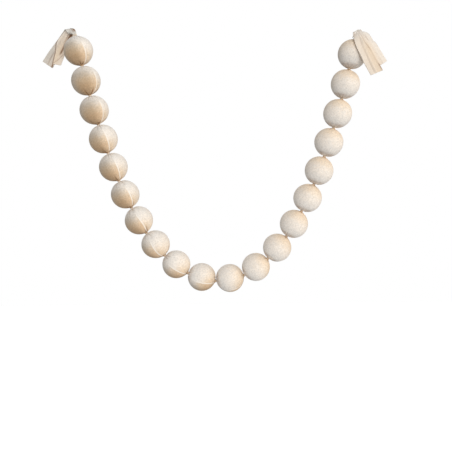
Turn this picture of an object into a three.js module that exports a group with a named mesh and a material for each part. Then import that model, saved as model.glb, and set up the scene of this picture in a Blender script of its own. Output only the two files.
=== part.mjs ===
import * as THREE from "three";

// A garland of stuffed velvet balls: a long velvet tube, filled ball by ball, tied off at every neck and
// hung up by the free tail at each end. Millimetres, +Z up, -Y towards the viewer. The origin is under the
// bend of the left tail, where it lies over its hook.

const BALL_COUNT = 20;
const BALL_RADIUS = 37.5;
const LINK = 77.9; // one ball from neck to neck
const SLOPE_STEP = 0.495; // a hanging chain's slope grows by this much with each ball
const LOWEST = 10.6; // the place in the chain, counted in balls, where the slope is nil
const PIECE_GAP = 0.3;

const NECK_RADIUS = 3.6; // the gathered velvet under a tie
const DIMPLE_RADIUS = 4.9; // foot of the neck, drawn a little into the ball
const DIMPLE_REACH = 36.1;
const PLEATS = 12;
const NECK_PLEAT = 0.15; // share of the radius that a pleat is deep at the neck
const PLEAT_SPREAD = 13; // distance from the axis at which the pleats have mostly faded
const POLE_ANGLE = 15; // degrees from the axis, first and last full ring of a ball
const RINGS = 9;

const THREAD = 0.9;
const TIE_CLEARANCE = 0.35;
const TIE_SEGMENTS = 14;
const THREAD_SEGMENTS = 5;
const TAIL_TIE_RADIUS = 6.2; // round the thicker root of a tail
const TAIL_TIE_RISE = 1; // along the tail from the end of the ball

const CLOTH = 1.6;
const LAYER_STEP = 3; // from one layer of the folded tail to the next
const FOLD_ROUND = 1.5;
const TAIL_STATIONS = 17;
const HANG_POINT = new THREE.Vector3(-18.4, 7.2, 49.2); // under the left bend, from the middle of the first ball

const CREAM = "#ded0be";
const TAN_THREAD = "#b79e80";

// Left tail, measured from the middle of the first ball. x, y, z: the middle of the folded cloth on its way
// from the tie, over the bend and down. lean: how far the right edge turns to the back. Across the cloth:
// outer: edge of the back layer, fold: edge of the front layer that shows, hidden: fold behind it, free: edge
// of the front layer. bow: how much the edges curl to the inside of the bend.
const LEFT_TAIL = {
  columns: ["x", "y", "z", "lean", "outer", "fold", "hidden", "free", "bow"],
  rows: [
    [-8.1, 0, 38.4, 0, -2.6, -2.6, 2.6, 2.6, 0],
    [-9.7, 0, 45.4, 0, -6, -5.5, 5, 6, 0],
    [-18.4, 7.2, 53, 0, -11.5, -10.5, 8, 9.5, 3],
    [-26.5, 15, 45.9, 0.1, -11.5, -10.5, 8, 10.8, 2],
    [-45.4, 18.8, 20.6, 0.4, -15.6, -14, 4, 14.4, 1],
    [-57, 18.5, 0.6, 0.36, -19.4, -6, 3, 18, 0],
    [-67.6, 17, -17.8, 0.15, -22.4, 0, 5, 21.3, 0],
    [-73.8, 15, -29.6, 0.05, -24.6, 3.6, 6.4, 23.4, 0],
  ],
  cut: { outer: 6, corner: 9.5, hidden: 4, fold: -0.5, free: -6 },
};

// Right tail, measured from the middle of the last ball, over its bend to the front.
const RIGHT_TAIL = {
  columns: LEFT_TAIL.columns,
  rows: [
    [8.3, 0, 38.4, 0, 2.6, 2.6, -2.6, -2.6, 0],
    [9.6, 0, 44.4, 0, 6.5, 5, -5, -6.5, 0],
    [14.6, -7.2, 53.6, -0.22, 18, 4, -6, -18, -6],
    [20.8, -16, 45, 0, 27, 3.6, -5, -21, -3],
    [25.9, -28, 25, 0.3, 32, 5, -5, -29.4, -1],
    [36.2, -30.6, 4.9, 0.38, 31.3, 5.6, -5, -31.3, 0],
    [48.5, -31, -17.5, 0.3, 30.6, 5.4, -4, -30.6, 0],
    [63.1, -30, -40.7, 0.2, 29, 4.4, -3, -29.4, 0],
  ],
  cut: { outer: -4.5, corner: -5, hidden: -5, fold: 8.6, free: 2.5 },
};

const fabric = (hex) => new THREE.MeshStandardMaterial({ color: hex, roughness: 0.95, metalness: 0 });

// Closed solid from an array of triangles of points, turned so that its faces look outwards.
function solid(triangles) {
  const volume = triangles.reduce((sum, [a, b, c]) => sum + a.dot(b.clone().cross(c)), 0);
  const outward = volume > 0 ? triangles : triangles.map(([a, b, c]) => [a, c, b]);
  const geometry = new THREE.BufferGeometry();
  geometry.setFromPoints(outward.flat());
  geometry.computeVertexNormals();
  return geometry;
}

// Triangles of the skin between rings that all have the same number of points.
function skin(rings) {
  const triangles = [];
  for (let j = 0; j + 1 < rings.length; j++) {
    const count = rings[j].length;
    for (let k = 0; k < count; k++) {
      const next = (k + 1) % count;
      triangles.push([rings[j][k], rings[j][next], rings[j + 1][next]]);
      triangles.push([rings[j][k], rings[j + 1][next], rings[j + 1][k]]);
    }
  }
  return triangles;
}

// The balls of the chain. A stuffed ball pulled at both necks takes the slope of the pull at its middle, and
// the upward share of that pull grows by one ball's weight from ball to ball.
function hangingChain() {
  const balls = [];
  const neck = new THREE.Vector3();
  for (let i = 1; i <= BALL_COUNT; i++) {
    const slope = Math.atan(SLOPE_STEP * (i - LOWEST));
    const along = new THREE.Vector3(Math.cos(slope), 0, Math.sin(slope));
    const start = neck.clone();
    neck.addScaledVector(along, LINK);
    balls.push({ slope, along, start, end: neck.clone(), centre: start.clone().lerp(neck, 0.5) });
  }
  return balls;
}

// One ball round its own middle, its necks on the X axis: a sphere with a pleated neck at each end. The end
// faces of the necks lie in the plane that halves the kink to the next ball.
function ballSolid(kinkBefore, kinkAfter) {
  const segments = 2 * PLEATS;
  const reach = (LINK - PIECE_GAP) / 2;
  const rows = [
    { axial: -reach, radius: NECK_RADIUS, tilt: Math.tan(kinkBefore / 2) },
    { axial: -DIMPLE_REACH, radius: DIMPLE_RADIUS, tilt: 0 },
  ];
  for (let j = 0; j < RINGS; j++) {
    const polar = THREE.MathUtils.degToRad(POLE_ANGLE + ((180 - 2 * POLE_ANGLE) * j) / (RINGS - 1));
    rows.push({ axial: -BALL_RADIUS * Math.cos(polar), radius: BALL_RADIUS * Math.sin(polar), tilt: 0 });
  }
  rows.push({ axial: DIMPLE_REACH, radius: DIMPLE_RADIUS, tilt: 0 });
  rows.push({ axial: reach, radius: NECK_RADIUS, tilt: -Math.tan(kinkAfter / 2) });

  const rings = rows.map(({ axial, radius, tilt }) => {
    const pleat = NECK_PLEAT * Math.exp(-((radius / PLEAT_SPREAD) ** 2));
    return Array.from({ length: segments }, (_, k) => {
      const angle = (2 * Math.PI * k) / segments;
      const r = radius * (k % 2 ? 1 - pleat : 1);
      const up = r * Math.cos(angle);
      return new THREE.Vector3(axial + tilt * up, r * Math.sin(angle), up);
    });
  });
  const triangles = skin(rings);
  for (const [ring, middle] of [
    [rings[0], new THREE.Vector3(-reach, 0, 0)],
    [rings[rings.length - 1], new THREE.Vector3(reach, 0, 0)],
  ]) {
    const flip = ring !== rings[0];
    ring.forEach((point, k) => {
      const next = ring[(k + 1) % ring.length];
      triangles.push(flip ? [middle, point, next] : [middle, next, point]);
    });
  }
  return solid(triangles);
}

// A thread ring round a neck.
const tieSolid = (radius) => new THREE.TorusGeometry(radius, THREAD / 2, THREAD_SEGMENTS, TIE_SEGMENTS);

// Smooth values of a table's columns at the share t of the way from its first to its last row.
function readTable({ columns, rows }, t) {
  const at = t * (rows.length - 1);
  const k = Math.min(Math.floor(at), rows.length - 2);
  const u = at - k;
  const row = (i) => rows[THREE.MathUtils.clamp(i, 0, rows.length - 1)];
  return Object.fromEntries(
    columns.map((name, c) => {
      const [p, q, r, s] = [row(k - 1)[c], row(k)[c], row(k + 1)[c], row(k + 2)[c]];
      const value = q + 0.5 * u * (r - p + u * (2 * p - 5 * q + 4 * r - s + u * (3 * (q - r) + s - p)));
      return [name, value];
    })
  );
}

// Middle line of the folded cloth across one station: front layer, turn, middle layer, turn, back layer.
function foldLine({ outer, fold, hidden, free }, cut) {
  const turn = Math.sign(hidden - fold) * FOLD_ROUND;
  const line = (x, depth, along) => ({ x, depth, along });
  return [
    line(free, LAYER_STEP, cut.free),
    line((free + fold) / 2, LAYER_STEP, (cut.free + cut.fold) / 2),
    line(fold + turn, LAYER_STEP, cut.fold),
    line(fold, LAYER_STEP / 2, cut.fold),
    line(fold + turn, 0, cut.fold),
    line(hidden - turn, 0, cut.hidden),
    line(hidden, -LAYER_STEP / 2, cut.hidden),
    line(hidden - turn, -LAYER_STEP, cut.corner),
    line((hidden + outer) / 2, -LAYER_STEP, (cut.corner + cut.outer) / 2),
    line(outer, -LAYER_STEP, cut.outer),
  ];
}

// A tail, measured from the middle of its ball: the end of the velvet tube, folded lengthwise in three layers,
// carried along its way over the bend.
function tailSolid(tail) {
  const point = (t) => {
    const { x, y, z } = readTable(tail, t);
    return new THREE.Vector3(x, y, z);
  };
  const step = 1e-3;
  const rings = [];
  for (let j = 0; j < TAIL_STATIONS; j++) {
    const t = j / (TAIL_STATIONS - 1);
    const row = readTable(tail, t);
    const along = point(Math.min(t + step, 1)).sub(point(Math.max(t - step, 0))).normalize();
    const across = new THREE.Vector3(1, 0, 0).addScaledVector(along, -along.x).normalize();
    const outward = along.clone().cross(across);
    across.addScaledVector(outward, -row.lean).normalize();
    outward.copy(along).cross(across);
    const width = Math.abs(row.outer - row.free) / 2;
    const line = foldLine(row, tail.cut);
    const sides = [[], []];
    line.forEach((here, k) => {
      const before = line[Math.max(k - 1, 0)];
      const after = line[Math.min(k + 1, line.length - 1)];
      const way = new THREE.Vector2(after.x - before.x, after.depth - before.depth).normalize();
      sides.forEach((side, which) => {
        const half = (which ? -CLOTH : CLOTH) / 2;
        const x = here.x - way.y * half;
        const depth = here.depth + way.x * half + row.bow * (here.x / width) ** 2;
        side.push(
          point(t)
            .addScaledVector(across, x)
            .addScaledVector(outward, depth)
            .addScaledVector(along, here.along * t ** 3)
        );
      });
    });
    rings.push([...sides[0], ...sides[1].reverse()]);
  }
  const triangles = skin(rings);
  const [first, last] = [rings[0], rings[rings.length - 1]];
  const count = first.length;
  for (let k = 0; k + 1 < count / 2; k++) {
    const far = count - 1 - k;
    triangles.push([first[k], first[far], first[k + 1]], [first[k + 1], first[far], first[far - 1]]);
    triangles.push([last[k], last[k + 1], last[far]], [last[k + 1], last[far - 1], last[far]]);
  }
  return solid(triangles);
}

const chain = hangingChain();
const first = chain[0];
const last = chain[BALL_COUNT - 1];

const garland = new THREE.Group();
garland.name = "velvet_ball_garland";
garland.position.copy(first.centre).add(HANG_POINT).negate();
const add = (name, geometry, hex, middle) => {
  const mesh = new THREE.Mesh(geometry, fabric(hex));
  mesh.name = name;
  mesh.position.copy(middle);
  garland.add(mesh);
  return mesh;
};
const twoDigits = (n) => String(n).padStart(2, "0");

chain.forEach((ball, i) => {
  const before = i ? ball.slope - chain[i - 1].slope : 0;
  const after = i + 1 < BALL_COUNT ? chain[i + 1].slope - ball.slope : 0;
  const mesh = add(`velvet_ball_${twoDigits(i + 1)}`, ballSolid(before, after), CREAM, ball.centre);
  mesh.rotation.y = -ball.slope;
});

const addTie = (name, radius, middle, along) => {
  const mesh = add(name, tieSolid(radius), TAN_THREAD, middle);
  mesh.quaternion.setFromUnitVectors(new THREE.Vector3(0, 0, 1), along);
};
for (let i = 0; i + 1 < BALL_COUNT; i++) {
  const along = chain[i].along.clone().add(chain[i + 1].along).normalize();
  addTie(`neck_tie_${twoDigits(i + 1)}`, NECK_RADIUS + TIE_CLEARANCE + THREAD / 2, chain[i].end, along);
}
const leftTie = first.start.clone().addScaledVector(first.along, -TAIL_TIE_RISE);
const rightTie = last.end.clone().addScaledVector(last.along, TAIL_TIE_RISE);
addTie("tail_tie_left", TAIL_TIE_RADIUS, leftTie, first.along);
addTie("tail_tie_right", TAIL_TIE_RADIUS, rightTie, last.along);

add("tail_left", tailSolid(LEFT_TAIL), CREAM, first.centre);
add("tail_right", tailSolid(RIGHT_TAIL), CREAM, last.centre);

export default garland;
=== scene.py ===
# %% [markdown]
# # A garland of velvet balls
# A long tube of cream velvet holds a row of balls. It is tied off with thread between every two balls, and
# its two free ends are bent over to hang it up, so that the row falls in a deep curve. The frame holds
# plain solids of the right size in the right place, and this lesson gives each of them the cloth that the
# eye expects. Lengths are written in millimetres and turned to metres where a mesh, a light or the camera
# takes them.

# %% Load the frame
import math

import bpy
import numpy as np
from mathutils import Matrix, Vector


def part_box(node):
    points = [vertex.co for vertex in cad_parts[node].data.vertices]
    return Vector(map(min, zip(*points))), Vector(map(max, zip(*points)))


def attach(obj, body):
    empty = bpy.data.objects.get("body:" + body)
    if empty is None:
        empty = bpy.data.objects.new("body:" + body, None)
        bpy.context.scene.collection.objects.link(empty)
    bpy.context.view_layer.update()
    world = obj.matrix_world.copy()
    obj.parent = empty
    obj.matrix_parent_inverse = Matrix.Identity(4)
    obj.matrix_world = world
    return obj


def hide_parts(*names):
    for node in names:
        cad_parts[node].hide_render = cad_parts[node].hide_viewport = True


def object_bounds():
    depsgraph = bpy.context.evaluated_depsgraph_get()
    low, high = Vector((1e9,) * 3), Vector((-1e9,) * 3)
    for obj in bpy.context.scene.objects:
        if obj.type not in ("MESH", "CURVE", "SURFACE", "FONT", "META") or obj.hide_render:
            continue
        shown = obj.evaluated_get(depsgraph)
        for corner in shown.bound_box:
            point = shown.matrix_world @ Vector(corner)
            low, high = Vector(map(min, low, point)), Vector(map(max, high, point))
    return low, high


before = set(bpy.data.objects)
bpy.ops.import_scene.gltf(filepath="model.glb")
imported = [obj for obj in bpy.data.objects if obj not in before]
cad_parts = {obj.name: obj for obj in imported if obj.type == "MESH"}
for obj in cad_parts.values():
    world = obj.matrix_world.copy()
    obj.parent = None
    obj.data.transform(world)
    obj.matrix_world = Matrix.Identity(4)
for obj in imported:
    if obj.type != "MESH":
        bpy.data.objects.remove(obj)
frame_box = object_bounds()
MM = 0.001
print("frame:", len(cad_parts), "nodes between", *frame_box)

# %% [markdown]
# ## Camera
# The garland was seen from the front, a little above its middle and from under two metres away. A 50 mm
# lens on a 36 mm sensor gives that view. The small roll is how far the picture leans.

# %% Camera
LENS = 50
SENSOR = 36
LOOK_AT = Vector((395.7, -7.2, -508.9))
DISTANCE = 1675.7
ELEVATION = math.radians(6.5)
ROLL = math.radians(-0.556)

camera = bpy.data.objects.new("camera", bpy.data.cameras.new("camera"))
camera.data.lens = LENS
camera.data.sensor_width = SENSOR
back = Vector((0, -math.cos(ELEVATION), math.sin(ELEVATION)))
turned = (-back).to_track_quat("-Z", "Y").to_matrix() @ Matrix.Rotation(ROLL, 3, "Z")
camera.matrix_world = Matrix.LocRotScale((LOOK_AT + back * DISTANCE) * MM, turned.to_quaternion(), None)
bpy.context.scene.collection.objects.link(camera)
bpy.context.scene.camera = camera
print("camera at", camera.matrix_world.translation)

# %% [markdown]
# ## Helpers
# Colours are written as the hex values that a screen shows, and shaders want linear light, so one function
# turns one into the other. A second one adds a node with its settings, values and links, which keeps a
# material readable from top to bottom, and a third one starts an empty material.

# %% Helpers for colours and nodes
def linear(hex_colour):
    """A screen's hex colour as linear light: each channel from 0 to 1, with the screen's curve undone."""
    channels = [int(hex_colour[i:i + 2], 16) / 255 for i in (1, 3, 5)]
    return tuple(c / 12.92 if c <= 0.04045 else ((c + 0.055) / 1.055) ** 2.4 for c in channels) + (1,)


def add_node(tree, kind, settings={}, values={}, links={}):
    """Adds a node: settings are its own properties, values go on its sockets, links come from other nodes."""
    node = tree.nodes.new(kind)
    for name, value in settings.items():
        setattr(node, name, value)
    for socket, value in values.items():
        node.inputs[socket].default_value = value
    for socket, source in links.items():
        tree.links.new(source, node.inputs[socket])
    return node


def new_material(name):
    """An empty material and its tree of nodes."""
    material = bpy.data.materials.new(name)
    material.use_nodes = True
    material.node_tree.nodes.clear()
    return material, material.node_tree


print("linear cream:", [round(c, 3) for c in linear("#f0e8de")])

# %% [markdown]
# ## Studio
# Three soft lights do the work. The main one stands in front, a little to the right and above. The second
# comes from the right-hand side and leaves the left sides of the balls in shade. A weak one behind is there
# for views of the back. The world looks white to the camera and gives the cloth a weaker light from all
# round, so the shaded sides stay soft. The floor is matt white paint far below, as bright as the
# background: it gives the eye nothing but an even white.

# %% Studio
LIGHTS = {
    "key_light": {"towards": (0.2, -0.95, 0.24), "strength": 1.7, "colour": "#fffdfa"},
    "side_light": {"towards": (0.94, -0.32, 0.1), "strength": 0.8, "colour": "#fffaf2"},
    "back_light": {"towards": (-0.2, 0.9, 0.4), "strength": 0.8, "colour": "#fffdfa"},
}
LIGHT_ANGLE = math.radians(40)
ROUND_STRENGTH = 0.44
FLOOR_DROP = 1500
FLOOR_SIDE = 12000

scene = bpy.context.scene
scene.view_settings.view_transform = "Standard"
scene.world = bpy.data.worlds.new("white_studio")
scene.world.use_nodes = True
tree = scene.world.node_tree
tree.nodes.clear()
seen = add_node(tree, "ShaderNodeBackground", values={"Color": linear("#ffffff"), "Strength": 1})
round_light = add_node(
    tree, "ShaderNodeBackground", values={"Color": linear("#fafbfd"), "Strength": ROUND_STRENGTH}
)
light_path = add_node(tree, "ShaderNodeLightPath")
both = add_node(
    tree,
    "ShaderNodeMixShader",
    links={0: light_path.outputs["Is Camera Ray"], 1: round_light.outputs[0], 2: seen.outputs[0]},
)
add_node(tree, "ShaderNodeOutputWorld", links={"Surface": both.outputs[0]})

for name, light in LIGHTS.items():
    lamp = bpy.data.objects.new(name, bpy.data.lights.new(name, "SUN"))
    lamp.data.energy = light["strength"]
    lamp.data.angle = LIGHT_ANGLE
    lamp.data.color = linear(light["colour"])[:3]
    lamp.rotation_euler = (-Vector(light["towards"])).to_track_quat("-Z", "Y").to_euler()
    scene.collection.objects.link(lamp)

floor_height = frame_box[0].z - FLOOR_DROP * MM
reach = FLOOR_SIDE / 2 * MM
floor_mesh = bpy.data.meshes.new("floor")
floor_mesh.from_pydata(
    [(x, y, floor_height) for x, y in ((-reach, -reach), (reach, -reach), (reach, reach), (-reach, reach))],
    [],
    [(0, 1, 2, 3)],
)
floor = bpy.data.objects.new("floor", floor_mesh)
scene.collection.objects.link(floor)
floor.visible_diffuse = False
paint, tree = new_material("white_floor_paint")
shader = add_node(
    tree,
    "ShaderNodeBsdfPrincipled",
    values={
        "Base Color": linear("#f4f4f4"),
        "Roughness": 0.9,
        "Emission Color": linear("#ffffff"),
        "Emission Strength": 1,
    },
)
add_node(tree, "ShaderNodeOutputMaterial", links={"Surface": shader.outputs[0]})
floor.data.materials.append(paint)
print("floor at", round(floor_height, 3), "m")

# %% [markdown]
# ## The hanging row
# A chain of equal weights hangs so that the upward share of the pull grows by the same step from ball to
# ball. The slope of a ball is therefore its number, counted from the lowest point of the curve, times one
# step. The same rule placed the solids of the frame, and the print at the end shows how well the two agree.

# %% The hanging row
BALL_COUNT = 20
BALL_RADIUS = 37.5
LINK = 77.9
SLOPE_STEP = 0.495
LOWEST = 10.6
HANG_POINT = np.array([-18.4, 7.2, 49.2])

number = np.arange(1, BALL_COUNT + 1)
slope = np.arctan(SLOPE_STEP * (number - LOWEST))
along = np.stack([np.cos(slope), 0 * slope, np.sin(slope)], axis=1)
inward = np.stack([-np.sin(slope), 0 * slope, np.cos(slope)], axis=1)
necks = np.vstack([np.zeros(3), np.cumsum(LINK * along, axis=0)])
necks -= (necks[0] + necks[1]) / 2 + HANG_POINT
centres = (necks[:-1] + necks[1:]) / 2
kinks = np.concatenate([[0], np.diff(slope), [0]])

in_frame = [sum(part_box(f"velvet_ball_{n:02d}"), Vector()) / 2 for n in number]
print("largest step from the frame's balls:", np.abs(np.array(in_frame) / MM - centres).max().round(2), "mm")

# %% [markdown]
# ## Meshes from arrays
# Every piece here is a grid of points worked out as one array. These functions turn such a grid into faces
# and into a smooth object at the origin, with the numbers that its material reads stored on its points.

# %% Meshes from arrays
def smoothstep(low, high, value):
    """0 below low, 1 above high, and an even S between."""
    share = np.clip((value - low) / (high - low), 0, 1)
    return share * share * (3 - 2 * share)


def grid_faces(rows, columns, closed):
    """Quads between the neighbours of a grid of points; a closed grid joins its last column to its first."""
    row, column = np.meshgrid(np.arange(rows - 1), np.arange(columns - (not closed)), indexing="ij")
    beside = (column + 1) % columns
    corners = [row * columns + column, (row + 1) * columns + column]
    corners += [(row + 1) * columns + beside, row * columns + beside]
    return np.stack(corners, axis=-1).reshape(-1, 4).tolist()


def new_piece(name, points, faces, material, values={}):
    """A smooth object at the origin from points in millimetres, with its values as one number per point."""
    mesh = bpy.data.meshes.new(name)
    mesh.from_pydata((points.reshape(-1, 3) * MM).tolist(), [], faces)
    for value_name, numbers in values.items():
        attribute = mesh.attributes.new(value_name, "FLOAT", "POINT")
        attribute.data.foreach_set("value", np.ravel(numbers).astype(np.float32))
    mesh.shade_smooth()
    mesh.materials.append(material)
    piece = bpy.data.objects.new(name, mesh)
    bpy.context.scene.collection.objects.link(piece)
    return piece


print("faces of a closed 3 by 4 grid:", len(grid_faces(3, 4, True)))

# %% [markdown]
# ## Velvet
# Cotton velvet is a short dense nap of fibres that stands on a woven ground. Looked at along the fibres it is
# pale and a little grey, looked at against them the colour is deep and warm, and at a grazing angle their
# tips catch the light. Much of that light and shade is painted into the colour here, so each point of a piece
# carries numbers. The first goes through a ramp from pale to warm: its warm end is the cloth's tone and its
# pale end a painted sheen. The second makes the cloth deeper, partly for the lean of the fibres and partly as
# painted shade on the side away from the light. The third mixes in brown painted shade at the bottoms of
# folds and in recesses, the seam's number is a painted highlight along its ridge, and nap tells how much of
# the grain shows. The fibres themselves are far finer than a pixel, so their grain is drawn a few millimetres
# wide here, as the brush marks that show on such cloth from a step away.

# %% Velvet
PILE_GRAIN = 3.6
SPECKLE_LOW = 0.65
SPECKLE_SPAN = 0.68
BRUSH_MARK = 8
MARK_SPAN = 0.3
FIBRE_HEIGHT = 0.6

velvet, tree = new_material("cream_cotton_velvet")
pile_and_sheen = add_node(tree, "ShaderNodeAttribute", {"attribute_name": "pile_and_sheen"})
painted_shade_and_nap = add_node(tree, "ShaderNodeAttribute", {"attribute_name": "painted_shade_and_nap"})
brown_painted_shade = add_node(tree, "ShaderNodeAttribute", {"attribute_name": "brown_painted_shade"})
seam = add_node(tree, "ShaderNodeAttribute", {"attribute_name": "seam"})
nap = add_node(tree, "ShaderNodeAttribute", {"attribute_name": "nap"})
place = add_node(tree, "ShaderNodeTexCoord")
grain = add_node(
    tree,
    "ShaderNodeTexNoise",
    values={"Scale": 1 / (PILE_GRAIN * MM), "Detail": 3, "Roughness": 0.6},
    links={"Vector": place.outputs["Object"]},
)
brushed = add_node(
    tree,
    "ShaderNodeTexNoise",
    values={"Scale": 1 / (BRUSH_MARK * MM), "Detail": 4, "Roughness": 0.55, "Distortion": 0.6},
    links={"Vector": place.outputs["Object"]},
)
marks = add_node(
    tree,
    "ShaderNodeMath",
    {"operation": "MULTIPLY_ADD"},
    values={1: MARK_SPAN, 2: -MARK_SPAN / 2},
    links={0: brushed.outputs["Fac"]},
)
speckle = add_node(
    tree,
    "ShaderNodeMath",
    {"operation": "MULTIPLY_ADD"},
    values={1: SPECKLE_SPAN, 2: SPECKLE_LOW},
    links={0: grain.outputs["Fac"]},
)
lean = add_node(
    tree,
    "ShaderNodeMath",
    {"operation": "MULTIPLY_ADD", "use_clamp": True},
    links={0: marks.outputs[0], 1: nap.outputs["Fac"], 2: pile_and_sheen.outputs["Fac"]},
)
# The ramp: its warm end is the cloth's tone seen against the nap, its pale end is painted sheen.
tone = add_node(tree, "ShaderNodeValToRGB", links={"Fac": lean.outputs[0]})
tone.color_ramp.elements[0].color = linear("#e9e7e3")
tone.color_ramp.elements[1].color = linear("#eaccaa")
tone.color_ramp.elements.new(0.42).color = linear("#f0e6da")
tone.color_ramp.elements.new(0.72).color = linear("#edd8be")
grained = add_node(
    tree,
    "ShaderNodeMix",
    {"data_type": "RGBA", "blend_type": "MULTIPLY"},
    links={0: nap.outputs["Fac"], 6: tone.outputs["Color"], 7: speckle.outputs[0]},
)
# Painted shade: the colour is multiplied towards grey, partly for the deeper look against the nap.
shaded = add_node(
    tree,
    "ShaderNodeMix",
    {"data_type": "RGBA", "blend_type": "MULTIPLY"},
    values={7: linear("#cbc5bc")},
    links={0: painted_shade_and_nap.outputs["Fac"], 6: grained.outputs[2]},
)
# Brown painted shade in the bottoms of creases and in recesses.
brown_shading = add_node(
    tree,
    "ShaderNodeMix",
    {"data_type": "RGBA"},
    values={7: linear("#7c5028")},
    links={0: brown_painted_shade.outputs["Fac"], 6: shaded.outputs[2]},
)
# Painted highlight: a pale line along the seam's ridge.
seam_highlight = add_node(
    tree,
    "ShaderNodeMix",
    {"data_type": "RGBA"},
    values={7: linear("#fbf3e8")},
    links={0: seam.outputs["Fac"], 6: brown_shading.outputs[2]},
)
fibres = add_node(
    tree,
    "ShaderNodeBump",
    values={"Strength": 0.35, "Distance": FIBRE_HEIGHT * MM},
    links={"Height": grain.outputs["Fac"]},
)
shader = add_node(
    tree,
    "ShaderNodeBsdfPrincipled",
    values={
        "Roughness": 0.95,
        "IOR": 1.45,
        "Specular IOR Level": 0.15,
        "Sheen Weight": 0.15,
        "Sheen Roughness": 0.45,
        "Sheen Tint": linear("#fff4e6"),
    },
    links={"Base Color": seam_highlight.outputs[2], "Normal": fibres.outputs[0]},
)
add_node(tree, "ShaderNodeOutputMaterial", links={"Surface": shader.outputs[0]})
print("velvet:", len(tree.nodes), "nodes")

# %% [markdown]
# ## One ball's cloth
# Round a ball the cloth follows a circle from neck to neck. At the first neck it turns down into the tie
# and leaves a small dimple; at the second one the next ball pulls, so it runs straight into the tie and
# looks pointed. The surface is that profile turned round the axis. Gathers are then pressed into it along
# its normal, and the seam is raised.

# %% Profile of one ball
NECK_RADIUS = 3.5
NECK_REACH = LINK / 2 - 0.15
DIMPLE = (-37.4, NECK_RADIUS + 0.2)
FOOT = (-36.2, 4.9)
FIRST_TURN = math.radians(14)
LAST_TURN = math.radians(162)
LAST_FOOT = (38, 3.9)
ROWS = 104
COLUMNS = 144


def ball_profile():
    """Axial place and radius from neck to neck, at rows that crowd towards both necks.

    Points of the circle and of both necks form one line. It is measured along its length, the rows take
    their share of that length, each row's share being s - 0.9 sin(2 pi s) / (2 pi), and a running mean
    rounds the corners.
    """
    polar = np.linspace(FIRST_TURN, LAST_TURN, 200)
    line = np.vstack([
        [(-NECK_REACH, NECK_RADIUS), DIMPLE, FOOT],
        np.stack([-BALL_RADIUS * np.cos(polar), BALL_RADIUS * np.sin(polar)], axis=1),
        [LAST_FOOT, (NECK_REACH, NECK_RADIUS)],
    ])
    length = np.concatenate([[0], np.cumsum(np.linalg.norm(np.diff(line, axis=0), axis=1))])
    share = np.linspace(0, 1, ROWS)
    share = share - 0.9 * np.sin(2 * np.pi * share) / (2 * np.pi)
    axial, radius = (np.interp(share * length[-1], length, line[:, k]) for k in (0, 1))
    for values in (axial, radius):
        values[1:-1] = (values[:-2] + 2 * values[1:-1] + values[2:]) / 4
    return axial, radius


axial, radius = ball_profile()
print("profile:", ROWS, "rows, widest", radius.max().round(2), "mm")

# %% [markdown]
# ## Gathers
# Where a wide tube is drawn into a narrow neck, the cloth falls into creases that run out from the neck and
# fade. No two are alike: each has its own angle, length and depth. A crease could be carved by hand in
# sculpt mode, but a bell-shaped trough for each one, added up over the whole grid, is exact and can be done
# again for every ball.

# %% Gathers
GATHERS = {
    "first": {"count": 18, "reach": 28, "left_reach": 9, "depth": 1.0, "left_depth": 0, "spread": 0.05},
    "last": {"count": 10, "reach": 24, "left_reach": 10, "depth": 1.4, "left_depth": 0.3, "spread": 0.075},
}


def gathers(turn, radius, random, count, reach, depth, spread):
    """Depth in millimetres of the creases round one neck.

    Each crease is a trough: across it a bell of the distance along the circle, along it a fade from the
    neck out to its own reach, where the depth is nil.
    """
    angle = (np.arange(count) + random.uniform(-0.35, 0.35, count)) * 2 * np.pi / count
    ends = reach * random.uniform(0.5, 1, count)
    deep = depth * random.uniform(0.45, 1, count)
    width = np.minimum(spread * radius + 0.3, 2)[..., None]
    apart = np.abs((turn[..., None] - angle + np.pi) % (2 * np.pi) - np.pi) * radius[..., None]
    fade = np.clip(1 - (radius[..., None] / ends) ** 2, 0, 1)
    return (deep * fade * np.exp(-((apart / width) ** 2))).sum(axis=-1) * np.minimum(radius / 9, 1)


def neck_gathers(neck, turn, radius, random, left):
    """The gathers of a ball's first or last neck; left, from 0 to 1, adds the left leg's length and depth."""
    size = GATHERS[neck]
    reach = size["reach"] + size["left_reach"] * left
    depth = size["depth"] + size["left_depth"] * left
    return gathers(turn, radius, random, size["count"], reach, depth, size["spread"])


test = neck_gathers("last", np.zeros((1, 1)), np.full((1, 1), 6.0), np.random.default_rng(0), 1)
print("depth of the gathers at one place:", test.round(3), "mm")

# %% [markdown]
# ## The shape of a ball
# The tube is sewn along one side, so a seam runs over every ball from neck to neck. It turns slowly about
# the row as the tube twists, from the right-hand side of the first balls to below and behind the last ones.
# A small table gives the seam's turn about each ball, in degrees from the viewer towards the inside of the
# curve, at the ball's middle, and its slant is how much more it has turned at the second neck. The balls of
# the left leg hang with longer gathers, so a share from 1 to 0 tells how far a ball belongs to that leg.

# %% The shape of a ball
SEAM = {
    "turn": (
        36, 56, 45, 24, 24, 26, 14, -6, -11, -14,
        -49, -72, -84, -92, -98, -104, -108, -112, -116, -120,
    ),
    "slant": (9, 2, 2, 5, 3, 3, 6, -8, 4, 3, -4, -4, -4, -4, -4, -4, -4, -4, -4, -4),
}
CROWD = 0.72
SEAM_RIDGE = 0.5
SEAM_WIDTH = 1.3
LUMP = 0.3
left_share = smoothstep(12, 7, number)


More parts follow.
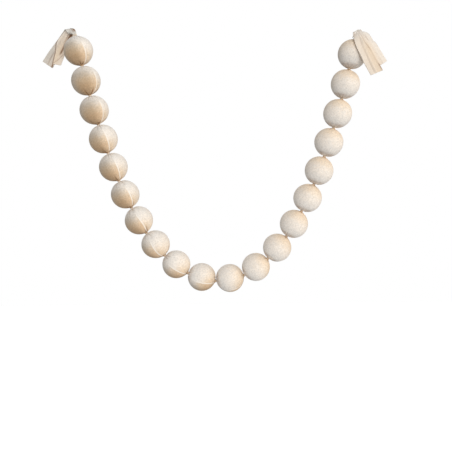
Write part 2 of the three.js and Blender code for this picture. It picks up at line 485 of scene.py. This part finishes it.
def ball_cloth(i):
    """Points of ball i's cloth, and the measures on it that its colours follow.

    The profile is turned about the ball's axis, with columns that crowd at the seam. The depth of the
    gathers at both necks is taken off along the normal, the seam's ridge and slow lumps are put on, and the
    rows at the necks lean into the plane that halves the kink to the next ball.
    """
    random = np.random.default_rng(100 + i)
    share = np.arange(COLUMNS) / COLUMNS
    from_seam = 2 * np.pi * (share - CROWD * np.sin(2 * np.pi * share) / (2 * np.pi))
    end_share = (axial / BALL_RADIUS)[:, None]
    turn = np.radians(SEAM["turn"][i] + SEAM["slant"][i] * end_share) + from_seam
    r = np.broadcast_to(radius[:, None], turn.shape)
    left = left_share[i]
    first = neck_gathers("first", turn, r, random, left) * (axial < 0)[:, None]
    last = neck_gathers("last", turn, r, random, left) * (axial > 0)[:, None]

    seam_gap = np.minimum(from_seam, 2 * np.pi - from_seam) * r
    away = smoothstep(6, 20, r)
    line = np.exp(-((seam_gap / SEAM_WIDTH) ** 2)) * away * smoothstep(-0.65, -0.25, end_share)
    waves = sum(
        random.uniform(-1, 1) * np.sin(k * turn + random.uniform(0, 6) + random.uniform(1, 3) * end_share)
        for k in (2, 3, 4, 5)
    )
    proud = SEAM_RIDGE * line + LUMP * waves * away - first - last

    run = np.stack([np.gradient(axial), np.gradient(radius)], axis=1)
    run /= np.linalg.norm(run, axis=1, keepdims=True)
    ring = r + run[:, :1] * proud
    place = axial[:, None] - run[:, 1:] * proud
    up = ring * np.sin(turn)
    lean = np.where(place < 0, math.tan(kinks[i] / 2), -math.tan(kinks[i + 1] / 2))
    place = place + lean * up * smoothstep(-FOOT[0], NECK_REACH, np.abs(place))

    points = centres[i] + place[..., None] * along[i] + up[..., None] * inward[i]
    points = points - (ring * np.cos(turn))[..., None] * np.array([0, 1, 0])
    measures = {"turn": turn, "from_seam": from_seam, "end_share": end_share, "r": r}
    return points, measures | {"first": first, "last": last, "line": line, "waves": waves}


points, measures = ball_cloth(0)
print("a ball's cloth:", points.shape, "deepest gather", measures["last"].max().round(2), "mm")

# %% [markdown]
# ## The colours of a ball
# The fibres lean along the tube, so a ball is pale at its first neck and warmer towards its second one. That
# pale part is painted sheen, as is the paleness towards the edges seen from the front. On one side of the
# seam it looks pale and on the other one warm and deep, and the deep side is darkened further, partly for the
# lean of the fibres and partly as painted shade. The bottoms of the gathers carry brown painted shade at the
# second neck and mostly grey painted shade at the first one. On the right leg a band of brown painted shade
# lies round the first neck, and a painted highlight runs along the seam. Painting all this on each ball would
# do as well, but a rule in the ball's own angles fits all twenty.

# %% The colours of a ball
def ball_colours(i, turn, from_seam, end_share, r, first, last, line, waves):
    """The numbers that the velvet reads, at every point of ball i.

    Each is a sum of even S curves and bells over three measures: the angle from the seam, the share of the
    way to either neck and the distance from the axis.
    """
    left = left_share[i]
    below_seam = 2 * np.pi - from_seam
    warm_side = smoothstep(math.radians(245), math.radians(290), from_seam)
    beside_seam = np.exp(-((from_seam / math.radians(28)) ** 2)) * smoothstep(-0.2, 0.6, end_share)

    # Painted sheen: pale towards the first neck and towards the ball's edges and back as seen from the front.
    # Warm towards the second neck, below the seam and near the necks, as the cloth's tone seen against the
    # nap.
    pile_and_sheen = 0.12 + 0.3 * smoothstep(-0.9, 0.1, end_share) + 0.2 * beside_seam
    pile_and_sheen = pile_and_sheen + (0.3 - 0.06 * left) * smoothstep(0, 0.9, end_share) * (0.7 + 0.3 * np.cos(turn))
    pile_and_sheen = pile_and_sheen + 0.48 * warm_side * smoothstep(-0.8, 0.6, end_share) + 0.3 * smoothstep(13, 5, r)

    # Painted shade: darker on the side below the seam and fading out towards the first neck, a little darker
    # beside the seam and much darker in the first neck's gathers.
    painted_shade_and_nap = 0.25 + 0.75 * smoothstep(0, math.radians(48), below_seam)
    painted_shade_and_nap = painted_shade_and_nap * smoothstep(math.radians(200), math.radians(120), below_seam)
    painted_shade_and_nap = painted_shade_and_nap * smoothstep(-1, -0.3, end_share) + 0.2 * beside_seam + 0.9 * first

    # Painted shade: a band round the first neck of the right leg's balls, uneven with the lumps.
    neck_band_shade = (1 - left) * np.exp(-(((end_share + 0.82) / 0.1) ** 2))
    neck_band_shade = neck_band_shade * np.clip(0.28 + 0.08 * waves, 0.1, 0.5)
    return {
        "pile_and_sheen": pile_and_sheen,
        "painted_shade_and_nap": np.clip(painted_shade_and_nap, 0, 1),
        # Brown painted shade: in the gathers' troughs, weaker at the first neck, and in the band round the
        # first neck.
        "brown_painted_shade": np.clip(0.3 * first + last + neck_band_shade, 0, 0.95),
        # Painted highlight along the seam's ridge.
        "seam": 0.9 * line,
        "nap": 1 + 0 * pile_and_sheen,
    }


print("warmest pile of the first ball:", ball_colours(0, **measures)["pile_and_sheen"].max().round(2))

# %% [markdown]
# ## The balls
# Each ball is the grid of its cloth with a small fan of faces over each neck, which makes it a closed piece.
# It is stuffed, and it takes the place of its solid in the frame.

# %% The balls
def ball_piece(i):
    """Ball i as a closed piece: the grid of its cloth and a fan of faces over each neck."""
    points, measures = ball_cloth(i)
    values = ball_colours(i, **measures)
    ends = centres[i] + np.outer([-NECK_REACH, NECK_REACH], along[i])
    ring = np.arange(COLUMNS)
    beside = (ring + 1) % COLUMNS
    first_end = np.full(COLUMNS, ROWS * COLUMNS)
    last_ring = (ROWS - 1) * COLUMNS
    faces = grid_faces(ROWS, COLUMNS, True)
    faces += np.stack([ring, beside, first_end], axis=1).tolist()
    faces += np.stack([last_ring + beside, last_ring + ring, first_end + 1], axis=1).tolist()
    values = {name: np.append(numbers.ravel(), [0, 0]) for name, numbers in values.items()}
    points = np.vstack([points.reshape(-1, 3), ends])
    return new_piece(f"velvet_on_ball_{i + 1:02d}", points, faces, velvet, values)


for i in range(BALL_COUNT):
    ball = ball_piece(i)
    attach(ball, "root")
    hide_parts(f"velvet_ball_{i + 1:02d}")
print("balls:", BALL_COUNT, "with", len(ball.data.polygons), "faces each")

# %% [markdown]
# ## Cotton thread
# The thread that ties the necks is matt cotton in a tan a little deeper than the cloth. Its yarns aren't
# dyed quite evenly, so a fine noise mixes two close tans, and it gives the eye a dull, slightly hairy line.

# %% Cotton thread
FLECK = 1.5

cotton, tree = new_material("tan_cotton_thread")
place = add_node(tree, "ShaderNodeTexCoord")
flecks = add_node(
    tree,
    "ShaderNodeTexNoise",
    values={"Scale": 1 / (FLECK * MM), "Detail": 2},
    links={"Vector": place.outputs["Object"]},
)
yarn = add_node(
    tree,
    "ShaderNodeMix",
    {"data_type": "RGBA"},
    values={6: linear("#d9bd93"), 7: linear("#eed7b2")},
    links={0: flecks.outputs["Fac"]},
)
shader = add_node(
    tree,
    "ShaderNodeBsdfPrincipled",
    values={"Roughness": 0.8, "IOR": 1.53, "Specular IOR Level": 0.2, "Sheen Weight": 0.1},
    links={"Base Color": yarn.outputs[2]},
)
add_node(tree, "ShaderNodeOutputMaterial", links={"Surface": shader.outputs[0]})
print("thread:", len(tree.nodes), "nodes")

# %% [markdown]
# ## The ties
# Each neck is bound with one turn of thread. Such a thread is three yarns laid round each other, so its
# section is a circle with three soft lobes that turn as they go along. That section, carried round a ring,
# is the whole tie. A curve with a bevel would give the ring but not the twist.

# %% The ties
THREAD = 0.9
TIE_RADIUS = 4.4
TAIL_TIE_RADIUS = 6.2
TAIL_TIE_RISE = 1
YARNS = 3
TWISTS = 16
LOBE = 0.16
RING_POINTS = 96
SECTION_POINTS = 14


def tie_points(middle, axis, radius):
    """A ring of twisted thread: the section's radius is the thread's, more on a lobe and less between lobes.

    The lobes stand at the angle v - (twists / yarns) u on the section, for the angle u round the ring.
    """
    u = np.linspace(0, 2 * np.pi, RING_POINTS, endpoint=False)[:, None]
    v = np.linspace(0, 2 * np.pi, SECTION_POINTS, endpoint=False)
    section = THREAD / 2 * (1 - LOBE / 2 + LOBE / 2 * np.cos(YARNS * v - TWISTS * u))
    side = np.array([0, 1, 0])
    across = np.cross(axis, side)
    out = np.cos(u)[..., None] * across + np.sin(u)[..., None] * side
    ring = (radius + section * np.cos(v))[..., None] * out
    return middle + ring + (section * np.sin(v))[..., None] * axis


def tie_piece(node, middle, axis, radius):
    """The thread that stands for one tie of the frame."""
    points = tie_points(middle, axis / np.linalg.norm(axis), radius)
    rows, columns = points.shape[:2]
    closing = np.arange(columns)
    beside = (closing + 1) % columns
    last = (rows - 1) * columns
    faces = grid_faces(rows, columns, True)
    faces += np.stack([last + closing, closing, beside, last + beside], axis=1).tolist()
    tie = new_piece(node.replace("tie", "thread"), points, faces, cotton)
    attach(tie, "root")
    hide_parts(node)
    return tie


for i in range(1, BALL_COUNT):
    tie_piece(f"neck_tie_{i:02d}", necks[i], along[i - 1] + along[i], TIE_RADIUS)
left_thread = tie_piece("tail_tie_left", necks[0] - TAIL_TIE_RISE * along[0], along[0], TAIL_TIE_RADIUS)
right_thread = tie_piece("tail_tie_right", necks[-1] + TAIL_TIE_RISE * along[-1], along[-1], TAIL_TIE_RADIUS)
print("ties:", BALL_COUNT + 1, "with", len(left_thread.data.polygons), "faces each")

# %% [markdown]
# ## The tails
# Each end of the tube is a free tail of cloth. It comes out of the last tie, bends over at the point that
# holds it and falls, folded lengthwise into a front layer, a hidden middle one and a back layer. Cloth
# simulation could drop it there, but the folds that show are known, so the sheet is laid out as given: a
# short table gives the way of its middle line and where its edges and folds lie across it, a smooth curve
# runs through the rows of that table, and soft creases are added.

# %% Tables of the tails
LAYER_STEP = 2.2
FOLD_ROUND = 1.1
CLOTH = 1.6
COLUMN = {name: k for k, name in enumerate("x y z lean outer fold hidden free bow".split())}
TAILS = {
    "left": {
        "rows": [
            [-8.1, 0, 38.4, 0, -2.6, -2.6, 2.6, 2.6, 0],
            [-9.7, 0, 45.4, 0, -6, -5.5, 5, 6, 0],
            [-18.4, 7.2, 53, 0, -12.5, -10.5, 8, 9.5, 5],
            [-26.5, 15, 45.9, 0.1, -14, -10.5, 8, 10.8, 3],
            [-45.4, 18.8, 20.6, 0.4, -15.6, -14, 4, 14.4, 1],
            [-57, 18.5, 0.6, 0.36, -19.4, -6, 3, 18, 0],
            [-67.6, 17, -17.8, 0.15, -22.4, 0, 5, 21.3, 0],
            [-73.8, 15, -29.6, 0.05, -24.6, 3.6, 6.4, 23.4, 0],
        ],
        "cut": {"outer": 6, "corner": 9.5, "hidden": 4, "fold": -0.5, "free": -6},
        "centre": centres[0],
        "crown": -1.8,
        "pile_and_sheen": (0.15, 0.45),
        # Painted shade of the back and front layers, and the strength of the painted shadow beside the fold.
        "painted_shade_and_nap": (0.6, 0.2),
        "fold_shadow": 0.75,
        # Each crease: from one place on the sheet to another, its width, its height and its brown painted
        # shade.
        "creases": [
            (-0.1, 0.15, 0.1, 0.55, 1.6, -1, 0.5),
            (0.35, 0.15, 0.45, 0.55, 1.8, -1, 0.8),
            (0.48, 0.4, 0.36, 0.75, 2.4, -1, 0.9),
            (0.7, 0.15, 0.75, 0.55, 1.8, -0.8, 0.8),
            (0.05, 1, 0.75, 0.72, 1.6, -1.2, 0.4),
            (-0.75, 0.45, -0.5, 1, 3, 1.6, 0),
            (-0.45, 0.75, -0.35, 1, 1.6, -0.8, 0.3),
        ],
    },
    "right": {
        "rows": [
            [8.3, 0, 38.4, 0, 2.6, 2.6, -2.6, -2.6, 0],
            [9.6, 0, 44.4, 0, 6.5, 5, -5, -6.5, 0],
            [14.6, -7.2, 53.6, -0.22, 17, 4, -6, -23, -7],
            [20.8, -16, 45, 0.12, 26, 3.6, -5, -23, -4],
            [25.9, -28, 25, 0.3, 30.5, 5, -5, -29.4, -2],
            [36.2, -30.6, 4.9, 0.38, 31.3, 5.6, -5, -31.3, 0],
            [48.5, -31, -17.5, 0.3, 30.6, 5.4, -4, -30.6, 0],
            [63.1, -30, -40.7, 0.2, 29, 4.4, -3, -29.4, 0],
        ],
        "cut": {"outer": -4.5, "corner": -5, "hidden": -5, "fold": 8.6, "free": 2.5},
        "centre": centres[-1],
        "crown": 3,
        "pile_and_sheen": (0.4, 0.45),
        # Painted shade of the back and front layers, and the strength of the painted shadow beside the fold.
        "painted_shade_and_nap": (0.15, 0.25),
        "fold_shadow": 0.05,
        # Each crease: from one place on the sheet to another, its width, its height and its brown painted
        # shade.
        "creases": [
            (-0.2, 0.27, 0.3, 0.55, 2, 1.8, 0),
            (-0.05, 0.27, 0.5, 0.55, 1.6, -0.6, 0.3),
            (-0.5, 0.3, -0.1, 0.72, 2.2, 1.6, 0),
            (-0.35, 0.3, 0.1, 0.72, 1.6, -0.5, 0.28),
            (0.1, 0.3, 0.8, 0.62, 2.4, 1.4, 0),
            (0.02, 0.6, 0.15, 1, 1.8, 0.8, 0.12),
            (0.13, 0.9, 0.16, 1, 2, 0, 0.5),
            (-1, 0.2, -0.95, 0.45, 1.6, 0, 0.5),
            (-0.3, 0.55, -0.45, 1, 2.2, 1.5, 0),
            (-0.42, 0.5, -0.6, 1, 1.6, -0.3, 0.2),
            (0.5, 0.6, 0.62, 1, 2.6, 1.2, 0),
        ],
    },
}


def read_table(rows, share):
    """Smooth values at shares of the way from the first row to the last: a cubic through each four rows."""
    rows = np.array(rows, float)
    at = share * (len(rows) - 1)
    k = np.minimum(at.astype(int), len(rows) - 2)
    u = (at - k)[:, None]
    before, start, end, after = (rows[np.clip(k + step, 0, len(rows) - 1)] for step in (-1, 0, 1, 2))
    cubed = 3 * (start - end) + after - before
    squared = 2 * before - 5 * start + 4 * end - after
    return start + 0.5 * u * (end - before + u * (squared + u * cubed))


print("left tail ends at", read_table(TAILS["left"]["rows"], np.array([1.0]))[0, :3])

# %% [markdown]
# ## The cloth of a tail
# Across the tail the sheet runs like a flat S: front layer, fold, hidden layer, fold, back layer. That line
# is laid at every station of the way, turned to the way's direction there. The creases are bells along short
# lines on the sheet, and the same bells place brown painted shade in the creases and recesses. A Solidify
# modifier gives the sheet its thickness.

# %% The cloth of a tail
STATIONS = 110
LAYER_POINTS = 34
TURN_POINTS = 9
MIDDLE_POINTS = 12
EASE = 9
BEND_AT = 0.31
BEND_SPAN = 0.12
PRESSED_NAP = 0.4


def fold_line(table, cut):
    """Across each station: x, depth and cut of the layers' middle line, and which layer a point is in.

    The front layer runs from its free edge to the fold, half a circle leads to the middle layer, another
    half circle to the back layer, and that one runs out to the outer edge.
    """
    names = ("outer", "fold", "hidden", "free")
    outer, fold, hidden, free = (table[:, COLUMN[name], None] for name in names)
    turn = np.sign(hidden - fold) * FOLD_ROUND
    run = np.linspace(0, 1, LAYER_POINTS)
    half = np.linspace(0, np.pi, TURN_POINTS + 2)[1:-1]
    short = np.linspace(0, 1, MIDDLE_POINTS)
    ones = np.ones((len(table), 1))
    x = [free + (fold + turn - free) * run, fold + turn * (1 - np.sin(half))]
    x += [fold + turn + (hidden - fold - 2 * turn) * short, hidden - turn * (1 - np.sin(half))]
    x += [hidden - turn + (outer - hidden + turn) * run]
    depth = [ones * LAYER_STEP + 0 * run, ones * LAYER_STEP / 2 * (1 + np.cos(half))]
    depth += [0 * ones * short, -ones * LAYER_STEP / 2 * (1 - np.cos(half)), -ones * LAYER_STEP + 0 * run]
    cuts = [cut["free"] + (cut["fold"] - cut["free"]) * run, cut["fold"] + 0 * half]
    cuts += [cut["fold"] + (cut["hidden"] - cut["fold"]) * short]
    cuts += [cut["hidden"] + (cut["corner"] - cut["hidden"]) * half / np.pi]
    cuts += [cut["corner"] + (cut["outer"] - cut["corner"]) * run]
    layer = [1 + 0 * run, 1 - half / np.pi, 0 * short, -half / np.pi, -1 + 0 * run]
    return np.hstack(x), np.hstack(depth), np.concatenate(cuts), np.concatenate(layer)


def tail_creases(creases, edge, share, width):
    """Height and brown painted shade of a tail's creases, which press into all its layers alike.

    A row of the table is a line from one place on the sheet to another, each place being its share of the
    half width and its share of the length, then the crease's width, its height and how much brown painted
    shade it carries.
    Across the line the crease is a bell, and at both ends it fades.
    """
    height = 0 * edge
    brown_shading = 0 * edge
    for x0, t0, x1, t1, wide, high, brown in creases:
        at = (share - t0) / (t1 - t0)
        apart = (edge - (x0 + (x1 - x0) * np.clip(at, 0, 1))) * width
        bell = np.exp(-((apart / wide) ** 2)) * smoothstep(-0.1, 0.15, at) * smoothstep(1.1, 0.85, at)
        height = height + high * bell
        brown_shading = brown_shading + brown * bell
    return height, brown_shading


def tail_cloth(tail):
    """Points of the folded sheet and the numbers that the velvet reads.

    A frame of three directions follows the middle line: along it, averaged over some stations so that the
    sheet turns softly, across it and outward from it. A point is the middle line plus its x across, its depth
    and the curl of the edges outward, and its cut along the sheet. Its fibres are pressed flatter than on the
    balls, so its nap is low. Painted shade darkens each layer by its own amount, and a band of painted shadow
    lies on the back layer beside the fold.
    """
    share = np.linspace(0, 1, STATIONS)
    table = read_table(tail["rows"], share)
    way = table[:, :3] + tail["centre"]
    forward = np.pad(np.gradient(way, axis=0), ((EASE, EASE), (0, 0)), mode="edge")
    forward = np.mean([forward[k:k + STATIONS] for k in range(2 * EASE + 1)], axis=0)
    forward /= np.linalg.norm(forward, axis=1, keepdims=True)
    across = np.array([1, 0, 0]) - forward * forward[:, :1]
    across /= np.linalg.norm(across, axis=1, keepdims=True)
    across = across - table[:, COLUMN["lean"], None] * np.cross(forward, across)
    across /= np.linalg.norm(across, axis=1, keepdims=True)
    outward = np.cross(forward, across)
    x, depth, cuts, layer = fold_line(table, tail["cut"])
    width = np.abs(table[:, COLUMN["outer"]] - table[:, COLUMN["free"]])[:, None] / 2
    edge = x / width
    bend = np.exp(-(((share - BEND_AT) / BEND_SPAN) ** 2))[:, None]
    pressed, brown_shading = tail_creases(tail["creases"], edge, share[:, None], width)
    depth = depth + table[:, COLUMN["bow"], None] * edge**2 + tail["crown"] * bend * (1 - edge**2) + pressed
    points = way[:, None] + x[..., None] * across[:, None] + depth[..., None] * outward[:, None]
    points = points + (cuts * share[:, None] ** 3)[..., None] * forward[:, None]
    # Paler over the top of the bend, warmer down the middle of the lower part.
    pile_and_sheen = np.interp(layer, (-1, 1), tail["pile_and_sheen"]) - 0.2 * smoothstep(0.5, 0.3, share)[:, None]
    pile_and_sheen = pile_and_sheen + 0.2 * smoothstep(0.4, 0.7, share)[:, None] * np.exp(-((edge / 0.6) ** 2))
    # Painted shade, set for each layer: heaviest on the left tail's back layer.
    painted_shade_and_nap = np.interp(layer, (-1, 1), tail["painted_shade_and_nap"]) + 0 * edge
    # Painted shadow on the back layer beside the fold, in the lower part.
    fold = table[:, COLUMN["fold"], None]
    fold_shadow = np.exp(-(((x - fold) / 2) ** 2)) * smoothstep(0.4, 0.55, share)[:, None]
    brown_shading = np.clip(brown_shading + tail["fold_shadow"] * (layer < 0) * fold_shadow, 0, 0.9)
    nap = PRESSED_NAP + 0 * pile_and_sheen
    return points, {"pile_and_sheen": pile_and_sheen, "painted_shade_and_nap": painted_shade_and_nap, "brown_painted_shade": brown_shading, "seam": 0 * pile_and_sheen, "nap": nap}


for side, tail in TAILS.items():
    points, values = tail_cloth(tail)
    rows, columns = points.shape[:2]
    piece = new_piece(f"velvet_tail_{side}", points, grid_faces(rows, columns, False), velvet, values)
    thick = piece.modifiers.new("cloth", "SOLIDIFY")
    thick.thickness = CLOTH * MM
    thick.offset = 0
    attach(piece, "root")
    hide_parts(f"tail_{side}")
